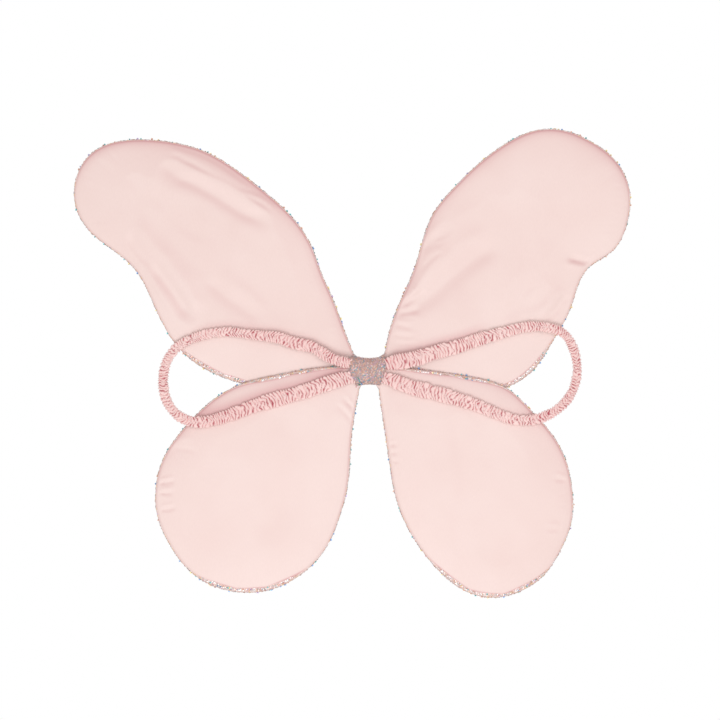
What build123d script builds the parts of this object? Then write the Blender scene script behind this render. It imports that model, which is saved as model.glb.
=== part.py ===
"""Fairy wings for dressing up: four padded wire-edged lobes, a sequinned centre band and two arm straps.

Millimetres. +Z is up as worn, +X is to the right seen from the wearer's side.
The satin side that rests on the wearer's back faces -Y, the sequinned side faces +Y.
Layers are drawn about the plane between upper and lower lobes; every piece is then moved
so that the origin lies on the centre band's face, where it rests on the wearer's back.
"""
import os

from build123d import *

# Lobe build-up, from the satin face towards the sequinned face
SATIN = 0.6
WADDING = 3.2
SEQUIN_FABRIC = 1.0
LOBE_THICK = SATIN + WADDING + SEQUIN_FABRIC
LAYER_GAP = 0.8
LOWER_LOBE_Y = -LAYER_GAP / 2 - LOBE_THICK
UPPER_LOBE_Y = LAYER_GAP / 2

# Wire loop and rolled edge round every lobe
WIRE_DIA = 2.2
WIRE_INSET = 2.6
WIRE_CHANNEL = 2.4
LIP_WIDTH = 1.0
PANEL_INSET = 1.2
ROLL_WIDTH = 5.0
WADDING_INSET = 5.8
CURVE_STEPS = 80

# Where the lobes start beside, above and below the centre band
ROOT_X = 19.9
ROOT_Z = 20.0

# Arm straps: gathered satin casing over flat elastic
STRAP_Y = -9.8
STRAP_THICK = 4.0
STRAP_WIDE = 15.0
STRAP_NARROW = 10.0
ELASTIC_WIDTH = 6.0
ELASTIC_THICK = 1.0
CASING_WALL = 1.2
STRAP_END_LENGTH = 12.0
STRAP_END_HEIGHT = 18.0
STRAP_END_THICK = 2.6

# Centre band: a sequinned strip wrapped round the roots, open at both sides
BAND_FRONT_Y = -11.0
BAND_BACK_Y = 8.0
BAND_WALL = 1.2
BAND_HALF_LENGTH = 22.0
BAND_WAIST = 13.2
BAND_FLARE = 17.4
BAND_CORNER = 6.0
BAND_OUTLINE = [
    (-19.2, 9), (-14, 15.6), (1, 13), (15, 15.6), (17.5, 3), (10.8, -15.8), (1, -13.2),
    (-7.7, -16.6), (-12.8, -13.6), (-19.2, 1),
]

# Inside the band
STEM_COUNT = 4
STEM_PITCH = 2.1
STEM_LENGTH = 33.0
TAPE_WALL = 0.5
TAPE_LENGTH = 24.0
BUNDLE_LENGTH = 34.0
BUNDLE_HEIGHT = 22.0
BUNDLE_DEPTH = 11.2
STITCH_DIA = 0.6
STITCH_LENGTH = 2.6
STITCH_COUNT = 7

# Lobe outlines (x, z), from the root over the tip and back to the root
LEFT_UPPER = [
    (-14.5, 18), (-23.5, 41), (-34.5, 71), (-47.5, 101), (-55, 122), (-66, 142), (-83, 162),
    (-106, 182), (-132, 202), (-165, 221), (-206, 231), (-240, 232), (-276, 220), (-291, 200),
    (-295, 171), (-285, 146), (-257, 121), (-234, 101), (-220, 76), (-207, 48), (-190, 22),
    (-163, 1), (-128, -13), (-92, -19), (-55, -11), (-19.9, 1),
]
RIGHT_UPPER = [
    (15.5, 18), (20.5, 41), (31.5, 71), (44.5, 101), (53.5, 131), (66, 161), (84, 183),
    (112, 210), (140, 230), (165, 241), (190, 242.5), (222, 231), (247, 212), (261, 186),
    (260, 149), (244, 119), (220, 102), (210, 84), (202, 60), (186, 31), (165, 0),
    (139, -17), (96, -26), (55, -18), (19.9, -3),
]
LEFT_LOWER = [
    (-19.9, 5), (-49, 4), (-90, -3), (-129, -13), (-158, -30), (-186, -58), (-204, -84),
    (-213, -115), (-212, -142), (-199, -174), (-172, -206), (-144, -219), (-122, -222),
    (-98, -219), (-66, -203), (-42, -177), (-28, -145), (-20, -114), (-17, -76), (-13, -42),
    (-8.5, -18.6),
]
RIGHT_LOWER = [
    (19.9, 5), (54, 2), (96, -4), (139, -17), (163, -39), (184, -63), (197, -87), (204, -118),
    (204, -147), (193, -178), (174, -206), (151, -221), (123, -227), (94, -219), (66, -196),
    (42, -163), (27, -128), (20, -90), (14, -50), (9.5, -18.6),
]

# Strap centrelines (x, z), from the upper root round the loop to the lower root
LEFT_STRAP = [
    (-19.9, 8), (-43, 16), (-73, 27.5), (-110, 35.5), (-140, 39), (-168, 35), (-188, 26),
    (-200, 12), (-204.5, -5), (-203.5, -22), (-196, -38), (-179, -49.5), (-146, -46.5),
    (-110, -33), (-69, -22), (-41, -12.5), (-19.9, -6.8),
]
RIGHT_STRAP = [
    (19.9, 7.6), (43, 11.5), (69, 19), (104, 29), (138, 39), (158, 44), (178, 43.5), (195, 37),
    (204.5, 22), (208, 0), (204, -18), (194, -33), (173, -46), (146, -48.5), (104, -33),
    (78, -25), (43.5, -16.5), (19.9, -7),
]


def curve_through(points):
    """A smooth open curve in the XZ plane through (x, z) points."""
    return Spline(*[(x, 0, z) for x, z in points])


def shifted(curve, distance):
    """The curve moved sideways in its own plane; distance may change along it."""
    points = []
    for step in range(CURVE_STEPS + 1):
        place = step / CURVE_STEPS
        amount = distance(place) if callable(distance) else distance
        sideways = (curve % place).cross(Vector(0, 1, 0))
        points.append(curve @ place + sideways * amount)
    return Spline(*points)


def slab(edges, y_start, thickness):
    """A flat piece: the area inside the edges, from y_start towards +Y."""
    face = Face(Wire(edges))
    solid = extrude(face, amount=thickness, dir=(0, 1, 0))
    return Pos(0, y_start, 0) * solid


def ribbon(first, second, y_start, thickness):
    """A flat strip between two side-by-side curves."""
    ends = [Line(first @ 1, second @ 1), Line(first @ 0, second @ 0)]
    return slab([first.edge(), second.edge()] + [end.edge() for end in ends], y_start, thickness)


def band_room():
    """The space beside, above and below the centre band that lobes and straps stay out of."""
    return Box(2 * ROOT_X, 40, 2 * ROOT_Z)


class Lobe:
    """One wing lobe: its outline, which way is inwards and its layer."""

    def __init__(self, points, layer_y):
        self.curve = curve_through(points)
        self.turn = self.inward_sign(points)
        self.layer_y = layer_y

    def inward_sign(self, points):
        """Plus or minus one, so that a positive inset always goes into the lobe."""
        centre_x = sum(x for x, z in points) / len(points)
        centre_z = sum(z for x, z in points) / len(points)
        middle = self.curve @ 0.5
        sideways = (self.curve % 0.5).cross(Vector(0, 1, 0))
        towards = Vector(centre_x, 0, centre_z) - middle
        return 1 if sideways.dot(towards) > 0 else -1

    def inset(self, distance):
        return shifted(self.curve, self.turn * distance)

    def panel(self, inset, y_offset, thickness):
        """The lobe's full shape, inset all round, as one flat layer."""
        edge = self.inset(inset)
        closing = Line(edge @ 1, edge @ 0)
        layer = slab([edge.edge(), closing.edge()], self.layer_y + y_offset, thickness)
        return layer - band_room()

    def wire(self, diameter):
        """The bent wire loop that stiffens the lobe's edge."""
        path = self.inset(WIRE_INSET)
        section = Plane(origin=path @ 0, z_dir=path % 0) * Circle(diameter / 2)
        loop = Pos(0, self.layer_y + LOBE_THICK / 2, 0) * sweep(section, path=path)
        return loop - band_room()

    def rolled_edge(self):
        """The margin of the sequinned fabric, rolled over the wire to the satin side."""
        outer = self.curve
        lip = ribbon(outer, self.inset(LIP_WIDTH), self.layer_y, LOBE_THICK)
        tuck = ribbon(
            self.inset(LIP_WIDTH / 2), self.inset(ROLL_WIDTH), self.layer_y + SATIN + 0.05,
            WADDING - 0.1,
        )
        return lip + tuck - self.wire(WIRE_CHANNEL) - band_room()

    def parts(self):
        return {
            "wire": self.wire(WIRE_DIA),
            "wadding": self.panel(WADDING_INSET, SATIN, WADDING),
            "satin_back": self.panel(PANEL_INSET, 0, SATIN),
            "sequin_front": self.panel(PANEL_INSET, SATIN + WADDING, SEQUIN_FABRIC),
            "rolled_edge": self.rolled_edge(),
        }


def strap_width(place):
    """Full width near the band, narrower where the loop turns."""
    away = min(place, 1 - place)
    return STRAP_NARROW + (STRAP_WIDE - STRAP_NARROW) * max(0, 1 - away / 0.3)


def strap_strip(points, trim, y_start, thickness):
    """The strap's loop as a flat strip, narrower by trim on each side."""
    curve = curve_through(points)
    one = shifted(curve, lambda place: strap_width(place) / 2 - trim)
    other = shifted(curve, lambda place: trim - strap_width(place) / 2)
    return ribbon(one, other, y_start, thickness)


def strap_casing(points):
    """Gathered satin tube, drawn plain: outside less the space for the elastic."""
    outside = strap_strip(points, 0, STRAP_Y, STRAP_THICK)
    hollow = strap_strip(points, CASING_WALL, STRAP_Y + CASING_WALL, STRAP_THICK - 2 * CASING_WALL)
    return outside - hollow - band_room()


def strap_elastic(points):
    """Flat elastic that runs loose inside the casing."""
    curve = curve_through(points)
    one = shifted(curve, ELASTIC_WIDTH / 2)
    other = shifted(curve, -ELASTIC_WIDTH / 2)
    strip = ribbon(one, other, STRAP_Y + (STRAP_THICK - ELASTIC_THICK) / 2, ELASTIC_THICK)
    return strip - band_room()


def band_block(shrink):
    """The space the wrapped strip encloses, waisted at the middle, with rounded long edges."""
    waist, flare, end = BAND_WAIST - shrink, BAND_FLARE - shrink, BAND_HALF_LENGTH
    edges = [
        ThreePointArc((-end, 0, flare), (0, 0, waist), (end, 0, flare)),
        Line((end, 0, flare), (end, 0, -flare)),
        ThreePointArc((end, 0, -flare), (0, 0, -waist), (-end, 0, -flare)),
        Line((-end, 0, -flare), (-end, 0, flare)),
    ]
    depth = BAND_BACK_Y - BAND_FRONT_Y - 2 * shrink
    block = slab([edge.edge() for edge in edges], BAND_FRONT_Y + shrink, depth)
    return fillet(block.edges().filter_by(GeomType.CIRCLE), BAND_CORNER - shrink)


def centre_band():
    edges = Polyline(*[(x, 0, z) for x, z in BAND_OUTLINE], close=True).edges()
    trim = slab(list(edges), BAND_FRONT_Y - 1, BAND_BACK_Y - BAND_FRONT_Y + 2)
    return (band_block(0) - band_block(BAND_WALL)) & trim


def stem_rods(diameter, length):
    """Wire ends lying side by side across the middle."""
    rods = []
    for index in range(STEM_COUNT):
        z = (index - (STEM_COUNT - 1) / 2) * STEM_PITCH
        rods.append(Pos(-1, 0, z) * Rot(0, 90, 0) * Cylinder(diameter / 2, length))
    bundle = rods[0]
    for rod in rods[1:]:
        bundle = bundle + rod
    return bundle


def tape_block(wall, length):
    """Rounded block round the wire ends."""
    width = STEM_PITCH * (STEM_COUNT - 1) + WIRE_DIA + 2 * wall
    section = Plane.YZ * SlotOverall(width, WIRE_DIA + 2 * wall, rotation=90)
    return Pos(-1 - length / 2, 0, 0) * extrude(section, amount=length, dir=(1, 0, 0))


def stem_tape():
    return tape_block(TAPE_WALL, TAPE_LENGTH) - tape_block(0.05, TAPE_LENGTH + 2)


def gathered_fabric_ends():
    """The lobes' gathered fabric ends, pressed round the taped wires under the band."""
    body = Pos(-1, 0, 0) * Box(BUNDLE_LENGTH, BUNDLE_DEPTH, BUNDLE_HEIGHT)
    body = fillet(body.edges().filter_by(Axis.X), 3)
    return body - tape_block(TAPE_WALL + 0.1, BUNDLE_LENGTH + 2)


def strap_ends(edge_x, inwards):
    """The two ends of one strap, sewn side by side flat under the band."""
    y = -BUNDLE_DEPTH / 2 - 0.2 - STRAP_END_THICK / 2
    x = edge_x + inwards * STRAP_END_LENGTH / 2
    block = Pos(x, y, 0.5) * Box(STRAP_END_LENGTH, STRAP_END_THICK, STRAP_END_HEIGHT)
    return block - Pos(x, y, 0.5) * Box(STRAP_END_LENGTH - 4, STRAP_END_THICK + 1, 0.6)


def strap_bar_tacks():
    """One zigzag bar tack across each of the four strap ends."""
    y = -BUNDLE_DEPTH / 2 - 0.2 - STRAP_END_THICK - STITCH_DIA / 2
    tacks = []
    for x in (-11, 9):
        for z in (-4, 5):
            tacks.append(Pos(x, y, z) * Box(1.6, STITCH_DIA, 6))
    return Compound(children=tacks)


def band_closing_stitches():
    """Hand stitches that close the band on the sequinned side."""
    stitches = []
    for index in range(STITCH_COUNT):
        x = -1 + (index - (STITCH_COUNT - 1) / 2) * 4.2
        stitch = Pos(x, BAND_BACK_Y + STITCH_DIA / 2, 0) * Cylinder(STITCH_DIA / 2, STITCH_LENGTH)
        stitches.append(stitch)
    return Compound(children=stitches)


def save(name, shape):
    """Writes one piece, moved so that the band's resting face is at y 0."""
    export_step(Pos(0, -BAND_FRONT_Y, 0) * shape, f"parts/{name}.step")


def main():
    os.makedirs("parts", exist_ok=True)
    lobes = {
        "left_upper": Lobe(LEFT_UPPER, UPPER_LOBE_Y),
        "right_upper": Lobe(RIGHT_UPPER, UPPER_LOBE_Y),
        "left_lower": Lobe(LEFT_LOWER, LOWER_LOBE_Y),
        "right_lower": Lobe(RIGHT_LOWER, LOWER_LOBE_Y),
    }
    for lobe_name, lobe in lobes.items():
        for part_name, shape in lobe.parts().items():
            save(f"{lobe_name}_{part_name}", shape)
    for side, points in (("left", LEFT_STRAP), ("right", RIGHT_STRAP)):
        save(f"{side}_strap_casing", strap_casing(points))
        save(f"{side}_strap_elastic", strap_elastic(points))
    save("centre_band", centre_band())
    save("wire_stems", stem_rods(WIRE_DIA, STEM_LENGTH))
    save("stem_tape", stem_tape())
    save("gathered_fabric_ends", gathered_fabric_ends())
    save("left_strap_ends", strap_ends(-18, 1))
    save("right_strap_ends", strap_ends(16.5, -1))
    save("strap_bar_tacks", strap_bar_tacks())
    save("band_closing_stitches", band_closing_stitches())


main()
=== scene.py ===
"""Fairy wings: satin lobes with sequinned fronts, a glittery centre band and ruched arm straps."""
import math

import bpy
import numpy as np
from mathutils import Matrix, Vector, geometry


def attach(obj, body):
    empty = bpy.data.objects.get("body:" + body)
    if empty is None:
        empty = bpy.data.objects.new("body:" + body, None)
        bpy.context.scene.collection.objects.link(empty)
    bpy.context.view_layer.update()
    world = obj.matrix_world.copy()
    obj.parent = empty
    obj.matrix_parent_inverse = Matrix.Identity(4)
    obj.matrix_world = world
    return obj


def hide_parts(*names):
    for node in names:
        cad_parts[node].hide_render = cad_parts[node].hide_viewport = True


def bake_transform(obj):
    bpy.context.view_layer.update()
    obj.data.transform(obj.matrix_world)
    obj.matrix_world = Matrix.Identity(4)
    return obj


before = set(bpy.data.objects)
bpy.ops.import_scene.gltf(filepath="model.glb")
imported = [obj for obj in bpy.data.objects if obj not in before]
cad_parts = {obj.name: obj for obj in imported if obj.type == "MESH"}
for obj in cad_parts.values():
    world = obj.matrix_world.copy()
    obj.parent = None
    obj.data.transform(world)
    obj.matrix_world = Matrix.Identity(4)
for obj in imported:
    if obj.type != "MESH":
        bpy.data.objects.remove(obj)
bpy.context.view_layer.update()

MM = 0.001
RNG = np.random.default_rng(7)

# ------------------------------------------------------------------ dimensions, millimetres
REST_Y = 11.0           # from the face on the wearer's back to the plane that depths count from
UPPER_MID = 2.8         # depth of the upper lobes' middle
LOWER_MID = -2.8
EDGE_PULL = 0.9         # the cloth ends this far inside the outline and leaves room for sequins
EDGE_STEP = 1.6         # spacing of the points along a lobe's edge
EDGE_HALF = 2.3         # half the thickness of the hem over the wire
WIRE_REACH = 2.4        # from the edge to where the rolled hem is thickest
WIRE_INSET = 2.6
WIRE_RADIUS = 1.1
STRIP_LEAST = 0.6       # how little of the rolled edge shows on the satin side
SWELL = 1.7             # how far the wadding lifts the cloth above the hem
SWELL_START = 1.5
SWELL_REACH = 8.0
ROOT_START = 18.0       # a lobe is pinched flat up to here, and full thick this much further out
ROOT_REACH = 40.0
RING_DEPTHS = (0.9, 1.8, 3.0, 4.6, 6.6)
FIELD_DEPTH = 7.4       # past the rings a panel's points lie in an even field
GRID = 2.2
WADDING_GRID = 4.5
WADDING_INSET = 5.8
WIRE_FROM = 22.0        # how far from the middle the wire and the edge's sequins begin
SEQUINS_FROM = 24.0
BAND_ROOM = (19.5, 17.5)
SEQUIN_SPACING = 2.7
SEQUIN_SIDES = 7
STRAP_STEP = 0.36
STRAP_SIDES = 36
STRAP_HALF_THICK = 2.45

# the outlines' points, x and z; each begins and ends where the lobe goes under the centre band
OUTLINES = {
    "left_upper": [
        (-14.5, 18), (-23.5, 41), (-34.5, 71), (-47.5, 101), (-55, 122), (-66, 142), (-83, 162),
        (-106, 182), (-132, 202), (-165, 221), (-206, 231), (-240, 232), (-276, 220),
        (-291, 200), (-295, 171), (-285, 146), (-257, 121), (-234, 101), (-220, 76),
        (-207, 48), (-190, 22), (-163, 1), (-128, -13), (-92, -19), (-55, -11), (-19.9, 1),
    ],
    "right_upper": [
        (15.5, 18), (20.5, 41), (31.5, 71), (44.5, 101), (53.5, 131), (66, 161), (84, 183),
        (112, 210), (140, 230), (165, 241), (190, 242.5), (222, 231), (247, 212), (261, 186),
        (260, 149), (244, 119), (220, 102), (210, 84), (202, 60), (186, 31), (165, 0),
        (139, -17), (96, -26), (55, -18), (19.9, -3),
    ],
    "left_lower": [
        (-19.9, 5), (-49, 4), (-90, -3), (-129, -13), (-158, -30), (-186, -58), (-204, -84),
        (-213, -115), (-212, -142), (-199, -174), (-172, -206), (-144, -219), (-122, -222),
        (-98, -219), (-66, -203), (-42, -177), (-28, -145), (-20, -114), (-17, -76),
        (-13, -42), (-8.5, -18.6),
    ],
    "right_lower": [
        (19.9, 5), (54, 2), (96, -4), (139, -17), (163, -39), (184, -63), (197, -87),
        (204, -118), (204, -147), (193, -178), (174, -206), (151, -221), (123, -227),
        (94, -219), (66, -196), (42, -163), (27, -128), (20, -90), (14, -50), (9.5, -18.6),
    ],
}
# where each lobe's cloth runs on under the centre band
ROOT_CLOSINGS = {
    "left_upper": [(-9, 4), (-8, 12)],
    "right_upper": [(8, 2), (7, 12)],
    "left_lower": [(-6, -12), (-6, -4), (-8, 3)],
    "right_lower": [(6, -12), (5, -4), (7, 3)],
}
STRAPS = {
    "left": [
        (-12, 6), (-19.9, 8), (-30, 10), (-43, 16), (-57, 24), (-73, 27.5), (-90, 33),
        (-111, 35.6), (-139, 39), (-168, 35), (-188, 26), (-200, 12), (-204.5, -5),
        (-203.5, -22), (-196, -38), (-179, -49.5), (-146, -46.5), (-118, -36.5), (-95, -29),
        (-69, -22), (-41, -12.5), (-19.9, -6.8), (-12, -6),
    ],
    "right": [
        (12, 6), (19.9, 7.6), (43, 11.5), (69, 19), (94, 26), (110, 31.5), (137, 39),
        (158, 44), (178, 43.5), (195, 37), (204.5, 22), (208, 0), (204, -18), (194, -33),
        (173, -46), (146, -48.5), (124, -41), (104, -33), (78, -25), (56, -19.4),
        (43.5, -16.5), (19.9, -8), (12, -6),
    ],
}


# ------------------------------------------------------------------ curves
def natural_cubic(t, values, q):
    """Natural cubic spline through values at t, read at q."""
    n = len(t)
    h = np.diff(t)
    a = np.zeros((n, n))
    b = np.zeros(n)
    a[0, 0] = a[-1, -1] = 1
    for i in range(1, n - 1):
        a[i, i - 1], a[i, i], a[i, i + 1] = h[i - 1], 2 * (h[i - 1] + h[i]), h[i]
        b[i] = 6 * ((values[i + 1] - values[i]) / h[i] - (values[i] - values[i - 1]) / h[i - 1])
    m = np.linalg.solve(a, b)
    k = np.clip(np.searchsorted(t, q) - 1, 0, n - 2)
    u, v = t[k + 1] - q, q - t[k]
    return ((m[k] * u ** 3 + m[k + 1] * v ** 3) / (6 * h[k])
            + (values[k] / h[k] - m[k] * h[k] / 6) * u
            + (values[k + 1] / h[k] - m[k + 1] * h[k] / 6) * v)


def path_lengths(points):
    """How far along a path each of its points is."""
    return np.concatenate([[0], np.cumsum(np.linalg.norm(np.diff(points, axis=0), axis=1))])


def smooth_path(points, step):
    """Evenly spaced points along a smooth curve through the given ones."""
    p = np.array(points, float)
    t = path_lengths(p)
    q = np.linspace(0, t[-1], 2400)
    fine = np.stack([natural_cubic(t, p[:, i], q) for i in range(p.shape[1])], 1)
    s = path_lengths(fine)
    at = np.linspace(0, s[-1], int(round(s[-1] / step)) + 1)
    return np.stack([np.interp(at, s, fine[:, i]) for i in range(p.shape[1])], 1), at


def smoothstep(x):
    x = np.clip(x, 0, 1)
    return x * x * (3 - 2 * x)


def signed_power(x, power):
    """Squares off a circle's sine or cosine when power is under one."""
    return np.sign(x) * np.abs(x) ** power


def unit(rows):
    return rows / np.linalg.norm(rows, axis=1)[:, None]


def sideways(path):
    """Unit vectors across a flat path, to its left."""
    tangent = unit(np.gradient(path, axis=0))
    return np.stack([-tangent[:, 1], tangent[:, 0]], 1)


def lattice(shape_seed, x, y=0.0):
    """Smooth 2-D value noise from -1 to 1, read at arrays x, y."""
    table = np.random.default_rng(shape_seed).uniform(-1, 1, (256, 256))
    xi, yi = np.floor(x).astype(int), np.floor(y).astype(int)
    fx, fy = smoothstep(x - xi), smoothstep(y - yi)
    x0, x1, y0, y1 = xi % 256, (xi + 1) % 256, yi % 256, (yi + 1) % 256
    top = table[x0, y0] * (1 - fx) + table[x1, y0] * fx
    low = table[x0, y1] * (1 - fx) + table[x1, y1] * fx
    return top * (1 - fy) + low * fy


def nearest_on_path(path, points):
    """Distance from each point to an open polyline, and how far along it the nearest place is."""
    steps = np.diff(path, axis=0)
    squares = (steps ** 2).sum(1)
    starts = np.concatenate([[0], np.cumsum(np.sqrt(squares))])
    best = np.full(len(points), np.inf)
    place = np.zeros(len(points))
    for i, (step, square) in enumerate(zip(steps, squares)):
        rel = points - path[i]
        t = np.clip((rel @ step) / square, 0, 1)
        d = np.hypot(rel[:, 0] - t * step[0], rel[:, 1] - t * step[1])
        closer = d < best
        best = np.where(closer, d, best)
        place = np.where(closer, starts[i] + t * math.sqrt(square), place)
    return best, place


def inside(poly, points):
    """Even-odd test of points in a closed polygon."""
    x, z = points[:, 0], points[:, 1]
    hit = np.zeros(len(points), bool)
    for (x0, z0), (x1, z1) in zip(poly, np.roll(poly, -1, axis=0)):
        if z0 != z1:
            hit ^= ((z0 > z) != (z1 > z)) & (x < (x1 - x0) * (z - z0) / (z1 - z0) + x0)
    return hit


def staggered(low, high, spacing, rise):
    """Points over a rectangle, every second row moved half a space along."""
    xs = np.arange(low[0], high[0], spacing)
    zs = np.arange(low[1], high[1], spacing * rise)
    gx, gz = np.meshgrid(xs, zs)
    gx = gx + (np.arange(len(zs)) % 2)[:, None] * spacing / 2
    return np.stack([gx.ravel(), gz.ravel()], 1)


# ------------------------------------------------------------------ mesh helpers
def make_object(name, verts, faces, material, smooth=True):
    """An object from points in millimetres, with depths counted from the modelling plane."""
    mesh = bpy.data.meshes.new(name)
    placed = (np.asarray(verts) + (0, REST_Y, 0)) * MM
    mesh.from_pydata([tuple(v) for v in placed], [], faces)
    mesh.validate()
    mesh.update()
    if smooth:
        mesh.polygons.foreach_set("use_smooth", [True] * len(mesh.polygons))
    obj = bpy.data.objects.new(name, mesh)
    bpy.context.scene.collection.objects.link(obj)
    obj.data.materials.append(material)
    return obj


def grid_faces(rows, columns, closed_rows=False, closed_columns=False, capped=False):
    """Faces over rows of points, joined end to end where they are closed."""
    faces = []
    for r in range(rows if closed_rows else rows - 1):
        above = (r + 1) % rows
        for c in range(columns if closed_columns else columns - 1):
            right = (c + 1) % columns
            faces.append((r * columns + c, r * columns + right,
                          above * columns + right, above * columns + c))
    if capped:
        faces.append(list(range(columns)))
        faces.append([(rows - 1) * columns + c for c in reversed(range(columns))])
    return faces


def swept(flat, y, u, w):
    """Points u across and w behind a flat path at depth y, a row of them for each of its points."""
    across = sideways(flat)
    x = flat[:, :1] + across[:, :1] * u
    z = flat[:, 1:] + across[:, 1:] * u
    depth = np.broadcast_to(np.reshape(y, (-1, 1)) + w, x.shape)
    return np.stack([x, depth, z], 2).reshape(-1, 3)


def vertex_vectors(mesh, key):
    """Each vertex's place (co) or normal as a row."""
    values = np.zeros(len(mesh.vertices) * 3, np.float32)
    mesh.vertices.foreach_get(key, values)
    return values.reshape(-1, 3)


def point_value(obj, name, values):
    attribute = obj.data.attributes.new(name, "FLOAT", "POINT")
    attribute.data.foreach_set("value", np.asarray(values, np.float32))


def point_colour(obj, name, values):
    attribute = obj.data.color_attributes.new(name, "FLOAT_COLOR", "POINT")
    rgba = np.ones((len(values), 4), np.float32)
    rgba[:, :3] = values
    attribute.data.foreach_set("color", rgba.ravel())


def face_towards(obj, direction):
    """Turns the mesh's faces so that most look along direction."""
    total = sum((p.normal * p.area for p in obj.data.polygons), Vector())
    if total.dot(direction) < 0:
        obj.data.flip_normals()


def face_outwards(obj):
    centre = sum((v.co for v in obj.data.vertices), Vector()) / len(obj.data.vertices)
    total = sum((p.center - centre).dot(p.normal) * p.area for p in obj.data.polygons)
    if total < 0:
        obj.data.flip_normals()


def apply_modifiers(obj):
    graph = bpy.context.evaluated_depsgraph_get()
    mesh = bpy.data.meshes.new_from_object(obj.evaluated_get(graph))
    obj.modifiers.clear()
    obj.data = mesh


# ------------------------------------------------------------------ materials
def new_material(name):
    """An empty material, its tree and the coordinates to read textures at."""
    material = bpy.data.materials.new(name)
    material.use_nodes = True
    tree = material.node_tree
    return material, tree, node(tree, "ShaderNodeTexCoord").outputs["Object"]


def node(tree, kind, **settings):
    made = tree.nodes.new(kind)
    for key, value in settings.items():
        if key in made.inputs:
            made.inputs[key].default_value = value
        else:
            setattr(made, key, value)
    return made


def texture(tree, kind, vector, **settings):
    """A texture node of one kind, such as Noise, read at vector."""
    made = node(tree, "ShaderNodeTex" + kind, **settings)
    tree.links.new(vector, made.inputs["Vector"])
    return made


def mix_colour(tree, factor, a, b, blend="MIX"):
    mix = tree.nodes.new("ShaderNodeMix")
    mix.data_type = "RGBA"
    mix.blend_type = blend
    for socket, value in ((mix.inputs[0], factor), (mix.inputs[6], a), (mix.inputs[7], b)):
        if isinstance(value, bpy.types.NodeSocket):
            tree.links.new(value, socket)
        elif isinstance(value, (int, float)):
            socket.default_value = value
        else:
            socket.default_value = (*value, 1)
    return mix.outputs[2]


def ramp(tree, source, stops, interpolation="LINEAR"):
    made = tree.nodes.new("ShaderNodeValToRGB")
    made.color_ramp.interpolation = interpolation
    elements = made.color_ramp.elements
    while len(elements) < len(stops):
        elements.new(0.5)
    for element, (place, colour) in zip(elements, stops):
        element.position = place
        element.color = (*colour, 1)
    tree.links.new(source, made.inputs[0])
    return made.outputs[0]


def surface(tree, tone, relief, **values):
    """Sets the shader's colour, its bump from height, strength and distance, and other inputs."""
    shader = tree.nodes["Principled BSDF"]
    tree.links.new(tone, shader.inputs["Base Color"])
    if relief is not None:
        height, strength, distance = relief
        bump = node(tree, "ShaderNodeBump", Strength=strength, Distance=distance)
        tree.links.new(height, bump.inputs["Height"])
        tree.links.new(bump.outputs[0], shader.inputs["Normal"])
    for key, value in values.items():
        shader.inputs[key.replace("_", " ")].default_value = value


def satin_material(name, light, deep, attribute, stops, painted_shade_tone):
    """Polyester satin: fine warp lines, soft mottling, a broad sheen.

    The mesh's attribute, read through stops if there are any, mixes in a darker tone as painted
    shade.
    """
    material, tree, coords = new_material(name)
    soft = texture(tree, "Noise", coords, Scale=14.0, Detail=3.0, Roughness=0.5)
    tone = ramp(tree, soft.outputs[0], [(0.3, deep), (0.7, light)])
    painted = node(tree, "ShaderNodeAttribute", attribute_name=attribute).outputs["Fac"]
    if stops is not None:
        painted = ramp(tree, painted, stops)
    tone = mix_colour(tree, painted, tone, painted_shade_tone)
    stretched = node(tree, "ShaderNodeMapping", Scale=(2600, 300, 300))
    tree.links.new(coords, stretched.inputs["Vector"])
    threads = texture(tree, "Noise", stretched.outputs[0], Scale=1.0, Detail=2.0, Roughness=0.6)
    lines = ramp(tree, threads.outputs[0], [(0.35, (0.45, 0.3, 0.3)), (0.65, (1, 0.95, 0.95))])
    tone = mix_colour(tree, 0.05, tone, lines, "MULTIPLY")
    surface(tree, tone, (threads.outputs[0], 0.12, 0.0002),
            Roughness=0.42, Specular_IOR_Level=0.35, Anisotropic=0.35,
            Sheen_Weight=0.15, Sheen_Roughness=0.4, Sheen_Tint=(1.0, 0.9, 0.88, 1))
    return material


def sequin_material():
    """Small plastic sequins and beads with a pearly colour shift."""
    material, tree, coords = new_material("sequins")
    tint = node(tree, "ShaderNodeAttribute", attribute_name="tint").outputs["Color"]
    cells = texture(tree, "Noise", coords, Scale=420.0, Detail=1.0)
    pearl = ramp(tree, cells.outputs[0], [(0.35, (1.0, 0.86, 0.9)), (0.5, (1, 1, 1)),
                                          (0.65, (0.84, 1.0, 1.0))])
    tone = mix_colour(tree, 0.7, tint, pearl, "MULTIPLY")
    surface(tree, tone, (cells.outputs[0], 0.15, 0.0003),
            Metallic=0.35, Roughness=0.24, Coat_Weight=0.6, Coat_Roughness=0.12)
    return material


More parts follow.
